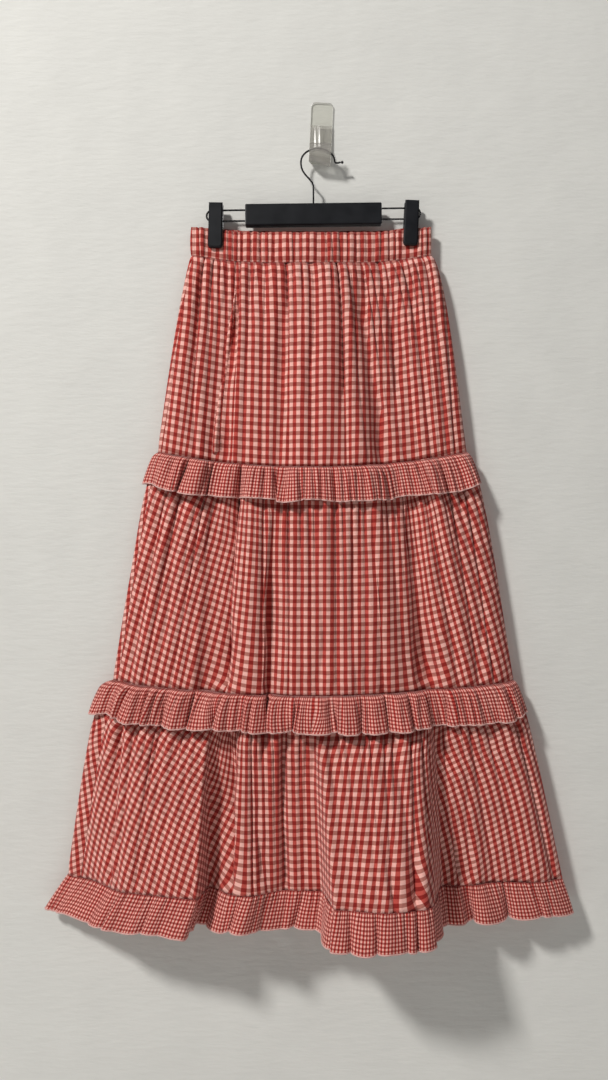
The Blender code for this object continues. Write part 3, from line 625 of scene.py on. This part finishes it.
def edging(name, dark, light):
    """Thread in close loops across a roll."""
    n = Nodes(name)
    place = n.node("ShaderNodeUVMap", uv_map="flat").outputs[0]
    split = n.node("ShaderNodeSeparateXYZ")
    n.link(place, split.inputs[0])
    loops = n.math("SINE", n.math("MULTIPLY", split.outputs[0], 2 * math.pi / THREAD_LOOP))
    fuzz = n.noise(place, 1400.0, 2.0, "2D")
    tone = n.math("ADD", n.math("MULTIPLY", loops, 0.25), fuzz)
    n.link(n.ramp(tone, ((0.2, dark), (0.8, light))), n.shader.inputs["Base Color"])
    n.link(n.bump(loops, 0.0003, 0.7), n.shader.inputs["Normal"])
    n.shader.inputs["Roughness"].default_value = 0.8
    n.shader.inputs["Sheen Weight"].default_value = 0.2
    return n.material


def black_plastic():
    """Moulded plastic with a fine grain, and lighter wear in patches that differ at random."""
    n = Nodes("black plastic")
    place = n.node("ShaderNodeTexCoord").outputs["Object"]
    grain = n.noise(place, 1400.0, 3.0)
    scuff = n.noise(place, 60.0, 4.0)
    black = n.ramp(scuff, ((0.35, (0.0030, 0.0038, 0.0060)), (0.75, (0.007, 0.008, 0.011))))
    n.link(black, n.shader.inputs["Base Color"])
    n.link(n.math("ADD", n.math("MULTIPLY", scuff, 0.22), 0.42), n.shader.inputs["Roughness"])
    n.shader.inputs["Specular IOR Level"].default_value = 0.26
    n.link(n.bump(grain, 0.00008, 0.4), n.shader.inputs["Normal"])
    return n.material


def black_wire():
    """Black lacquer on steel, thin enough to shine."""
    n = Nodes("black wire")
    place = n.node("ShaderNodeTexCoord").outputs["Object"]
    wear = n.noise(place, 300.0, 3.0)
    lacquer = n.ramp(wear, ((0.4, (0.012, 0.012, 0.014)), (0.8, (0.06, 0.06, 0.065))))
    n.link(lacquer, n.shader.inputs["Base Color"])
    n.link(n.math("ADD", n.math("MULTIPLY", wear, 0.2), 0.18), n.shader.inputs["Roughness"])
    n.shader.inputs["Metallic"].default_value = 0.6
    return n.material


def clear_plastic(name, colour, roughness, face_clear, painted_dark_rim_clear):
    """Clear moulded plastic. Light goes straight through its broad faces, by the share
    face_clear, and less of it through its rims, which look darker for that: painted shade on the rims,
    standing in for the dark edges that refraction gives clear plastic."""
    n = Nodes(name)
    place = n.node("ShaderNodeTexCoord").outputs["Object"]
    flow = n.noise(place, 90.0, 2.0)
    n.link(n.math("ADD", n.math("MULTIPLY", flow, 0.10), roughness), n.shader.inputs["Roughness"])
    n.link(n.bump(flow, 0.0004, 0.3), n.shader.inputs["Normal"])
    n.shader.inputs["Base Color"].default_value = (*colour, 1.0)
    n.shader.inputs["Specular IOR Level"].default_value = 0.8
    facing = n.node("ShaderNodeSeparateXYZ")
    n.link(n.node("ShaderNodeNewGeometry").outputs["Normal"], facing.inputs[0])
    # Painted shade: the rims let less light through than the faces, so they show dark, in place of the dark
    # edges from refraction.
    clearness_and_painted_dark_rims = n.soft_step(n.math("ABSOLUTE", facing.outputs[1]), 0.3, 0.95, painted_dark_rim_clear, face_clear)
    n.let_through(clearness_and_painted_dark_rims, (0.98, 0.98, 0.965))
    return n.material


# ---------------------------------------------------------------- the skirt
LARGE_CHECK = 0.0052
SMALL_CHECK = 0.0022

# The cut of each tier: how far its warp and its rows lean at its sides, the distance from the
# centre line to the left and to the right up to which they stand straight, the distance over
# which they then come to lean so, its flat half size, and its front mesh's columns and rows.
Cut = namedtuple("Cut", "warp_lean row_lean left right lean_over width length columns rows")
CUTS = {
    "tier_1": Cut(0.10, 0.07, 0.080, 0.080, 0.120, 0.470, 0.262, 600, 46),
    "tier_2": Cut(0.34, 0.36, 0.060, 0.100, 0.130, 0.620, 0.300, 680, 48),
    "tier_3": Cut(0.60, 0.64, 0.095, 0.130, 0.090, 0.830, 0.257, 740, 46),
}
BACK_SHARE = 0.42       # the backs have this share of the fronts' columns
GRAIN_LEVEL = 0.7       # part of a tier's height at which its checks have their own size
ROW_STRETCH = 1.02      # length on the cut for each metre of a tier's height
SEAM_START = 0.1        # the place of a seam's first point
TIER_HELD = 0.012       # the relief comes up over this length from a side seam
UNDER_RUFFLE = 0.0010   # a tier lies further in by this much under its ruffle
UNDER_RUFFLE_RUN = 0.02


def columns_on(side, columns):
    return columns if side == "front" else int(columns * BACK_SHARE)


def on_cut(cut, side, from_middle, fallen, height):
    """Each point's place on the cut cloth. The warp stands straight near the centre line and
    fans out beyond it, so that a length along a row grows or shrinks by an exponential with the
    height, and the rows rise towards the sides by a smooth curve that ends in a straight one."""
    straight = np.where(from_middle < 0.0, cut.left, cut.right)
    away = np.maximum(np.abs(from_middle) - straight, 0.0) / cut.lean_over
    fan = cut.warp_lean * smoothstep(away) / np.maximum(np.abs(from_middle), 0.001)
    turn = -1.0 if side == "back" else 1.0
    grain = turn * from_middle * np.exp(-fan * (fallen - GRAIN_LEVEL * height))
    near, far = np.minimum(away, 1.0), np.maximum(away - 1.0, 0.0)
    rise = cut.row_lean * cut.lean_over * (near ** 3 - 0.5 * near ** 4 + far)
    return np.stack([grain, fallen * ROW_STRETCH + rise], axis=-1)


def make_tier(number, side, material):
    """Front or back of a tier: the tube's stretch with the tier's relief. Under a ruffle it lies
    a little further in. Its lengths on the cut grow by what the relief takes up."""
    name = "tier_%d" % number
    cut = CUTS[name]
    down = np.linspace(0.0, 1.0, cut.rows + 1)[:, None]
    points, across = tube(name, down, panel_turns(name, side, columns_on(side, cut.columns)))
    lengths = row_lengths(points)
    place = lengths[:1] + SEAM_START
    out, shift = tier_relief(number, side, across, place, down)
    held = ends_held(lengths, TIER_HELD)
    height = stretch_height(name)
    fallen = down * height
    if number > 1:
        out = out - UNDER_RUFFLE * (1.0 - smoothstep((fallen - RUFFLE_DROP) / UNDER_RUFFLE_RUN))
    points = moved(points, surface_normals(points), out * held, shift * held)

    middle = np.argmin(np.abs(across[0] - 0.5))
    taken_up = (row_lengths(points) - lengths)[cut.rows // 5:-cut.rows // 5].mean(axis=0)
    lengths = lengths + taken_up
    flat = on_cut(cut, side, lengths - lengths[:, middle:middle + 1], fallen, height)
    obj = cloth_mesh("%s_%s_cloth" % (name, side), points, flat, material)
    add_thickness(obj)
    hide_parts("%s_%s" % (name, side))
    return obj


BAND_ROWS = 14
BAND_COLUMNS = {"front": 600, "back": 400}
BAND_CLOSE = Gathers((0.0048, 0.0120), 0.20, 0.50, 0.15)
BAND_WIDE = Gathers((0.0140, 0.0340), 0.10, 0.13, 0.00)
BAND_SHELL = 0.0014     # thickness of the folded band
BAND_PUFF = 0.0010      # it stands out by this much at half its height
BAND_INSET = 0.0004     # and all of it is set in by this much
BAND_FRILL = 0.176      # its top edge waves by this share of a gather's width
BAND_LENGTH = 0.037     # its visible height on the flat map
CLIP_PRESS = 0.0003     # the jaws press the cloth in by this much


def make_band(side, material, seam_material_and_painted_shade):
    """Elastic waistband: the tube's top stretch in close upright gathers, fuller in the middle of
    its height than at the two edges, where it is sewn, and flat under the clips. The upper half
    frills up and down with the gathers."""
    down = np.linspace(0.0, 1.0, BAND_ROWS + 1)[:, None]
    points, across = tube("band", down, panel_turns("band", side, BAND_COLUMNS[side]))
    lengths = row_lengths(points)
    place = lengths[:1] + SEAM_START
    seed = 5 if side == "front" else 6
    slant = place + uneven(place, seed + 20, 0.020, 0.004) * down
    close = waves_along(slant, seed, BAND_CLOSE)
    wide = waves_along(place, seed + 10, BAND_WIDE)
    belly = 0.55 + 0.45 * np.sin(math.pi * down) ** 0.6
    clip = near_clips(2.0 * across - 1.0, 1.7, 0.055)
    free = ends_held(lengths, 0.008) * (1.0 - clip)
    out = (arches(close, BAND_CLOSE.depth) + arches(wide, BAND_WIDE.depth)) * belly
    out = out + BAND_PUFF * np.sin(math.pi * down) ** 0.8 - BAND_INSET
    shift = slides(close, BAND_CLOSE.spread) * belly
    points = moved(points, surface_normals(points), out * free - CLIP_PRESS * clip, shift * free)
    frill = arches(close, BAND_FRILL) + uneven(place, seed + 30, 0.012, 0.0006)
    points[:, :, 2] += frill * np.maximum(1.0 - down * 2.0, 0.0) * free
    along = row_lengths(points)[BAND_ROWS // 2]
    level = down * BAND_LENGTH + 0.0014 * wide.strength
    flat = np.stack([along + 0.0 * down, level], axis=-1)
    obj = cloth_mesh("waistband_%s_cloth" % side, points, flat, material)
    add_thickness(obj, BAND_SHELL)
    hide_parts("waistband_" + side)
    # thread along the waist seam, its dark colour partly painted shade along the seam
    seam = make_edge("waistband_%s_seam" % side, points[-1], BAND_SEAM_ROLL, seam_material_and_painted_shade)
    return obj


# Ruffles: the stretch each one follows, the tier under or over it, its flat half width and
# length, its mesh columns and seed, and its waves at the free edge.
Ruffle = namedtuple("Ruffle", "stretch tier width length columns seed waves")
RUFFLES = {
    "ruffle_1": Ruffle("tier_2", 2, 0.620, 0.047, 860, 222, Gathers((0.009, 0.042), 0.12, 0.46, 0.13)),
    "ruffle_2": Ruffle("tier_3", 3, 0.800, 0.047, 960, 229, Gathers((0.010, 0.046), 0.12, 0.46, 0.13)),
    "ruffle_hem": Ruffle("hem_ruffle", 3, 1.000, 0.047, 1060, 281,
                         Gathers((0.011, 0.056), 0.12, 0.46, 0.13)),
}
RUFFLE_CLOSE = Gathers((0.0050, 0.0105), 0.25, 0.42, 0.08, (0.008, 0.034))
RUFFLE_ROWS = 14
RUFFLE_SHELL = 0.0004
RUFFLE_HELD = 0.014     # the waves come up over this length from a side seam
RUFFLE_FRILL = 0.10     # the free edge waves up and down by this share of a wave's width
SIDE_LIFT = 0.0045      # a ruffle over a tier rides up by this much at its side seams
SIDE_LIFT_RUN = 0.035
SEWN_OUT = 0.0004       # its sewn edge stands this far out from the plain tube


def ruffle_over(r, side, across, place, down, part):
    """How far a ruffle over a tier stands out before its own waves: just over that tier's relief,
    a little less deep than it in the troughs, and further out towards the free edge."""
    under, _ = tier_relief(r.tier, side, across, place, down)
    return np.maximum(under, 0.75 * under) + 0.0008 + 0.0022 * smoothstep(part / 0.15) + 0.0020 * part


def ruffle_below(side, across, part):
    """How far the hem ruffle stands out before its own waves: it carries on the creases of the
    tier that it is sewn to, from a third of their depth at the seam to four fifths below."""
    width = LEVELS["hem_seam"].right - LEVELS["hem_seam"].left
    return crease_relief("tier_3_" + side, width, across, np.ones_like(part)) * (0.35 + 0.45 * part)


def make_ruffle(name, side, material, edge_material, seam_material_and_painted_shade):
    """Ruffle: gathers that are small and close at the seam and open into fewer, deeper waves with
    closed valleys at the free edge. One over a tier lies on that tier's relief and moves out
    level, neither up nor down."""
    r = RUFFLES[name]
    over = name != "ruffle_hem"
    part = np.linspace(0.0, 1.0, RUFFLE_ROWS + 1)[:, None]
    fallen = part * RUFFLE_DROP
    down = fallen / stretch_height(r.stretch) if over else part
    points, across = tube(r.stretch, down, panel_turns(r.stretch, side, columns_on(side, r.columns)))
    normals = surface_normals(points)
    lengths = row_lengths(points)
    place = lengths[:1] + SEAM_START
    seed = r.seed + (100 if side == "back" else 0)
    close = waves_along(place, seed, RUFFLE_CLOSE)
    slant = place + uneven(place, seed + 4, 0.028, 0.007) * part
    wide = waves_along(slant, seed + 1, r.waves)
    small = arches(close, RUFFLE_CLOSE.depth) * dying(fallen, seed + 2, place, RUFFLE_CLOSE)
    opening = 0.24 + 0.76 * part ** 0.8
    wave = arches(wide, r.waves.depth) * opening
    held = ends_held(lengths, RUFFLE_HELD)
    if over:
        normals[:, :, 2] = 0.0
        normals /= np.linalg.norm(normals, axis=2, keepdims=True)
        lift = ruffle_over(r, side, across, place, down, part)
        crest = 0.5 * r.waves.depth * wide.pitch * wide.strength * opening
        out = lift * (0.3 + 0.7 * held) + (small * 0.7 + wave + crest * 0.8) * held
        out[0] = SEWN_OUT
    else:
        out = (small + wave + ruffle_below(side, across, part)) * held + 0.0006 * np.sin(math.pi * part)
    spread = slides(wide, r.waves.spread) * opening + slides(close, RUFFLE_CLOSE.spread) * (1.0 - part)
    points = moved(points, normals, out, spread * held)
    frill = arches(wide, RUFFLE_FRILL) + uneven(place, seed + 3, 0.030, 0.0022)
    points[:, :, 2] -= part * held * frill
    if over:
        points[:, :, 2] += SIDE_LIFT * part * (1.0 - ends_held(lengths, SIDE_LIFT_RUN))
    lengths = row_lengths(points)
    flat = np.stack([lengths[-1:] + 0.0 * part, fallen + 0.0 * lengths], axis=-1)
    obj = cloth_mesh("%s_%s_cloth" % (name, side), points, flat, material)
    add_thickness(obj, RUFFLE_SHELL)
    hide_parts("%s_%s" % (name, side))
    edge = make_edge("%s_%s_edge" % (name, side), points[-1], EDGE_ROLL, edge_material)
    # thread along the ruffle's sewn edge, its dark colour partly painted shade along the seam
    seam = make_edge("%s_%s_seam" % (name, side), points[0], RUFFLE_SEAM_ROLL, seam_material_and_painted_shade)
    return obj


# Rolls of thread along an edge: half their thickness and half their height.
BAND_SEAM_ROLL = (0.00035, 0.00030)
RUFFLE_SEAM_ROLL = (0.00030, 0.00030)
EDGE_ROLL = (0.00062, 0.00100)
EDGE_SIDES = 6
LOOP_PITCH = 0.0033


def make_edge(name, line, roll_size, material):
    """Thread over an edge: a roll along the line, swelling a little at every loop."""
    thick, high = roll_size
    along = np.gradient(line, axis=0)
    length = np.concatenate([[0.0], np.cumsum(np.linalg.norm(np.diff(line, axis=0), axis=1))])
    along /= np.linalg.norm(along, axis=1, keepdims=True)
    up = np.array([0.0, 0.0, 1.0])
    out = np.cross(along, up)
    out /= np.linalg.norm(out, axis=1, keepdims=True)
    over = np.cross(out, along)
    angle = np.linspace(0.0, 2 * math.pi, EDGE_SIDES, endpoint=False)[:, None]
    swell = 1.0 + 0.10 * np.sin(2 * math.pi * length / LOOP_PITCH)[None, :]
    middle = line - 0.0002 * out
    outward = (thick * swell * np.cos(angle))[:, :, None] * out[None]
    upward = (high * swell * np.sin(angle))[:, :, None] * over[None]
    roll = middle[None] + outward + upward
    flat = np.stack([length[None, :] + 0.0 * angle, 0.0008 * angle + 0.0 * length[None, :]], axis=-1)
    return cloth_mesh(name, roll[::-1], flat[::-1], material, closed=True)


def make_skirt():
    large = gingham("large gingham", LARGE_CHECK, LARGE_SQUARES)
    small = gingham("small gingham", SMALL_CHECK, SMALL_SQUARES)
    thread = edging("overlocked edge", (0.62, 0.31, 0.28), (0.86, 0.53, 0.49))
    # The seam thread is real stitching, but its dark red, darker than the darkest check, is painted shade:
    # it draws the dark line of shade along each seam.
    seam_thread_and_painted_shade = edging("seam", (0.20, 0.016, 0.014), (0.38, 0.055, 0.045))
    for side in ("front", "back"):
        make_band(side, large, seam_thread_and_painted_shade)
        for number in (1, 2, 3):
            make_tier(number, side, large)
        for name in RUFFLES:
            make_ruffle(name, side, small, thread, seam_thread_and_painted_shade)


# ---------------------------------------------------------------- hanger and wall hook
TROUGH_CORNER = 0.009   # radius of its rounded lower corners
TROUGH_FRONT = 0.018    # height over which the rounding runs out upwards


def round_trough(material):
    """The wall hook's trough with its two lower corners rounded off."""
    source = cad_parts["wall_hook_trough"]
    obj = add_object("wall_hook_trough_round", source.data.copy())
    obj.data.transform(source.matrix_world)
    at = np.array([tuple(v.co) for v in obj.data.vertices])
    low, high = at.min(axis=0), at.max(axis=0)
    to_side = np.minimum(at[:, 0] - low[0], high[0] - at[:, 0])
    inset = np.clip(1.0 - to_side / TROUGH_CORNER, 0.0, 1.0)
    height = np.clip((at[:, 2] - low[2]) / TROUGH_FRONT, 0.0, 1.0)
    at[:, 2] += TROUGH_CORNER * (1.0 - np.sqrt(1.0 - inset ** 2)) * (1.0 - height)
    obj.data.vertices.foreach_set("co", at.ravel())
    obj.data.materials.clear()
    obj.data.materials.append(material)
    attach(obj, "root")
    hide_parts("wall_hook_trough")


def dress_nodes():
    plastic = black_plastic()
    wire = black_wire()
    plate = clear_plastic("clear plastic", (0.36, 0.36, 0.33), 0.06, 0.93, 0.30)
    frosted = clear_plastic("frosted plastic", (0.44, 0.425, 0.40), 0.20, 0.66, 0.34)
    round_trough(frosted)
    for name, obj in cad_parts.items():
        if name.startswith("hanger_bar") or name.startswith("clip_"):
            choice = plastic
        elif name.startswith("hanger_"):
            choice = wire
        elif name == "wall_hook_plate":
            choice = plate
        else:
            continue
        for slot in obj.material_slots:
            slot.material = choice


# ---------------------------------------------------------------- stage, light, camera
CAMERA_PLACE = (-0.0225, -1.075, -0.538)
CAMERA_LENS = 27.04
FLOOR_Z = -1.36
WALL_Y = 0.0004


def stage_plane(name, corners, material):
    mesh = bpy.data.meshes.new(name)
    mesh.from_pydata(corners, [], [(0, 1, 2, 3)])
    mesh.materials.append(material)
    obj = add_object(name, mesh)
    return obj


def make_stage():
    """Pale plaster wall behind the skirt, open to a view from behind, and a pale floor."""
    n = Nodes("plaster")
    place = n.node("ShaderNodeTexCoord").outputs["Object"]
    trowel = n.noise(place, 14.0, 6.0)
    paint = n.ramp(trowel, ((0.3, (0.660, 0.662, 0.637)), (0.7, (0.690, 0.692, 0.665))))
    n.link(paint, n.shader.inputs["Base Color"])
    spread = n.node("ShaderNodeMapping")
    spread.inputs["Scale"].default_value = (38.0, 38.0, 150.0)
    n.link(place, spread.inputs["Vector"])
    strokes = n.noise(spread.outputs[0], 1.0, 4.0)
    rolled = n.bump(trowel, 0.004, 0.35)
    n.link(n.bump(strokes, 0.0016, 0.45, rolled), n.shader.inputs["Normal"])
    n.shader.inputs["Roughness"].default_value = 0.75
    n.let_through(n.node("ShaderNodeNewGeometry").outputs["Backfacing"])
    upright = [(-4, WALL_Y, FLOOR_Z), (4, WALL_Y, FLOOR_Z), (4, WALL_Y, 2.4), (-4, WALL_Y, 2.4)]
    wall = stage_plane("wall", upright, n.material)
    wall.visible_diffuse = False
    wall.visible_glossy = False
    wall.visible_transmission = True
    wall.visible_shadow = False
    f = Nodes("pale floor")
    f.shader.inputs["Base Color"].default_value = (0.78, 0.77, 0.75, 1.0)
    f.shader.inputs["Roughness"].default_value = 0.7
    level = [(-4, -4, FLOOR_Z), (4, -4, FLOOR_Z), (4, 3, FLOOR_Z), (-4, 3, FLOOR_Z)]
    stage_plane("floor", level, f.material)


def area_light(name, place, target, size, power, colour):
    data = bpy.data.lights.new(name, "AREA")
    data.size = size
    data.energy = power
    data.color = colour
    obj = add_object(name, data)
    obj.location = place
    aim = np.array(target) - np.array(place)
    flat_length = math.hypot(aim[0], aim[1])
    obj.rotation_euler = (math.atan2(flat_length, -aim[2]), 0.0, math.atan2(aim[1], aim[0]) - math.pi / 2)
    return obj


def make_light():
    middle = (0.0, 0.0, -0.55)
    area_light("key", (-2.45, -2.50, 2.30), middle, 0.50, 198.0, (1.0, 0.975, 0.94))
    area_light("fill", (1.7, -2.4, 1.2), middle, 2.0, 6.0, (0.97, 0.98, 1.0))
    area_light("rear", (0.8, 2.4, 0.6), middle, 2.0, 40.0, (1.0, 0.98, 0.96))
    world = bpy.data.worlds.new("soft room")
    world.use_nodes = True
    world.node_tree.nodes["Background"].inputs[0].default_value = (0.90, 0.91, 0.92, 1.0)
    world.node_tree.nodes["Background"].inputs[1].default_value = 0.092
    bpy.context.scene.world = world


def make_camera():
    data = bpy.data.cameras.new("camera")
    data.lens = CAMERA_LENS
    data.sensor_width = 36.0
    camera = add_object("camera", data)
    camera.location = CAMERA_PLACE
    camera.rotation_euler = (math.pi / 2, 0.0, 0.0)
    bpy.context.scene.camera = camera
    bpy.context.scene.view_settings.view_transform = "Standard"


make_camera()
make_skirt()
dress_nodes()
make_stage()
make_light()
